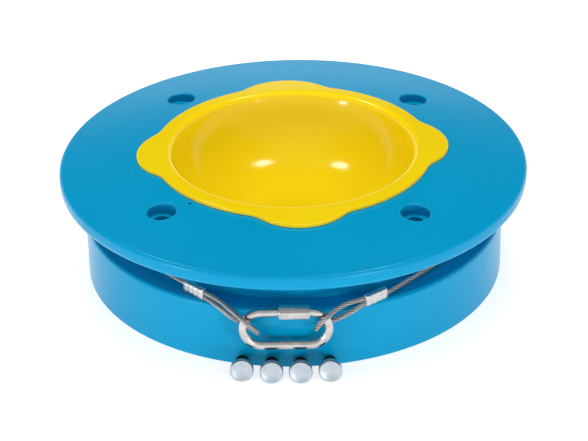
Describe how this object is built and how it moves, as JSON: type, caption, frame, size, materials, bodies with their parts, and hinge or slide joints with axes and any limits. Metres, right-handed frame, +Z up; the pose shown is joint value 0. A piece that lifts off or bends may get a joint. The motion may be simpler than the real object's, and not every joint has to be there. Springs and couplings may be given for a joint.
{
  "type": "merry go round",
  "caption": "Low playground spinner: round disc with a dished seat bowl turning on a drum, a cable tether round its neck and loose fixing bolts.",
  "frame": {"origin": "on the ground, on the turning axis, at the middle of the drum's underside", "axes": "+Z up along the turning axis, -Y to the front where the tether's link and the loose bolts are, +X to the right seen from the front"},
  "size_m": [0.42, 0.4271, 0.1131],
  "materials": {
    "blue_gloss": "gloss",
    "yellow_gloss": "gloss",
    "blue_paint": "gloss",
    "bearing_steel": "ground",
    "zinc_steel": "bright zinc",
    "cage_nylon": "moulded",
    "rope_steel": "stranded wire",
    "ferrule_aluminium": "pressed",
    "link_steel": "polished",
    "bolt_steel": "bright turned head, black shank"
  },
  "bodies": {
    "base": {"drum_shell": "blue_gloss", "base_plate": "blue_paint", "base_plate_screws": "zinc_steel", "neck_ring": "blue_gloss", "neck_screws": "zinc_steel", "support_posts": "zinc_steel", "post_foot_screws": "zinc_steel", "support_ring": "zinc_steel", "support_ring_screws": "zinc_steel", "lower_race": "bearing_steel", "tether_rope": "rope_steel", "ferrule_left": "ferrule_aluminium", "ferrule_right": "ferrule_aluminium"},
    "turntable": {"top_disc": "blue_gloss", "turn_plate": "zinc_steel", "turn_plate_screws": "zinc_steel", "threaded_bosses": "zinc_steel", "keeper_clips": "zinc_steel", "upper_race": "bearing_steel"},
    "ball_ring": {"bearing_balls": "bearing_steel", "ball_cage": "cage_nylon"},
    "seat_bowl": {"bowl": "yellow_gloss"},
    "link": {"quick_link": "link_steel"},
    "nut": {"link_nut": "link_steel"},
    "loose_bolt_1": {"bolt_1": "bolt_steel"},
    "loose_bolt_2": {"bolt_2": "bolt_steel"},
    "loose_bolt_3": {"bolt_3": "bolt_steel"},
    "loose_bolt_4": {"bolt_4": "bolt_steel"}
  },
  "joints": [
    {"name": "disc_spin", "type": "hinge", "parent": "base", "child": "turntable", "pos_m": [0, 0, 0.09], "axis": [0, 0, 1], "continuous": true},
    {"name": "ball_ring_roll", "type": "hinge", "parent": "base", "child": "ball_ring", "pos_m": [0, 0, 0.076], "axis": [0, 0, 1], "continuous": true},
    {"name": "bowl_lift", "type": "slide", "parent": "turntable", "child": "seat_bowl", "axis": [0, 0, 1], "range_m": [0, 0.08]},
    {"name": "link_swing", "type": "hinge", "parent": "base", "child": "link", "pos_m": [0, -0.198, 0.05], "axis": [-1, 0, 0], "range_deg": [0, 20]},
    {"name": "nut_open", "type": "slide", "parent": "link", "child": "nut", "axis": [-1, 0, 0], "range_m": [0, 0.0125]},
    {"name": "bolt_1_pull", "type": "slide", "parent": "base", "child": "loose_bolt_1", "axis": [0, -1, 0], "range_m": [0, 0.06]},
    {"name": "bolt_2_pull", "type": "slide", "parent": "base", "child": "loose_bolt_2", "axis": [0, -1, 0], "range_m": [0, 0.06]},
    {"name": "bolt_3_pull", "type": "slide", "parent": "base", "child": "loose_bolt_3", "axis": [0, -1, 0], "range_m": [0, 0.06]},
    {"name": "bolt_4_pull", "type": "slide", "parent": "base", "child": "loose_bolt_4", "axis": [0, -1, 0], "range_m": [0, 0.06]}
  ],
  "couplings": [
    {"joint": "ball_ring_roll", "follows": "disc_spin", "ratio": 0.5}
  ]
}
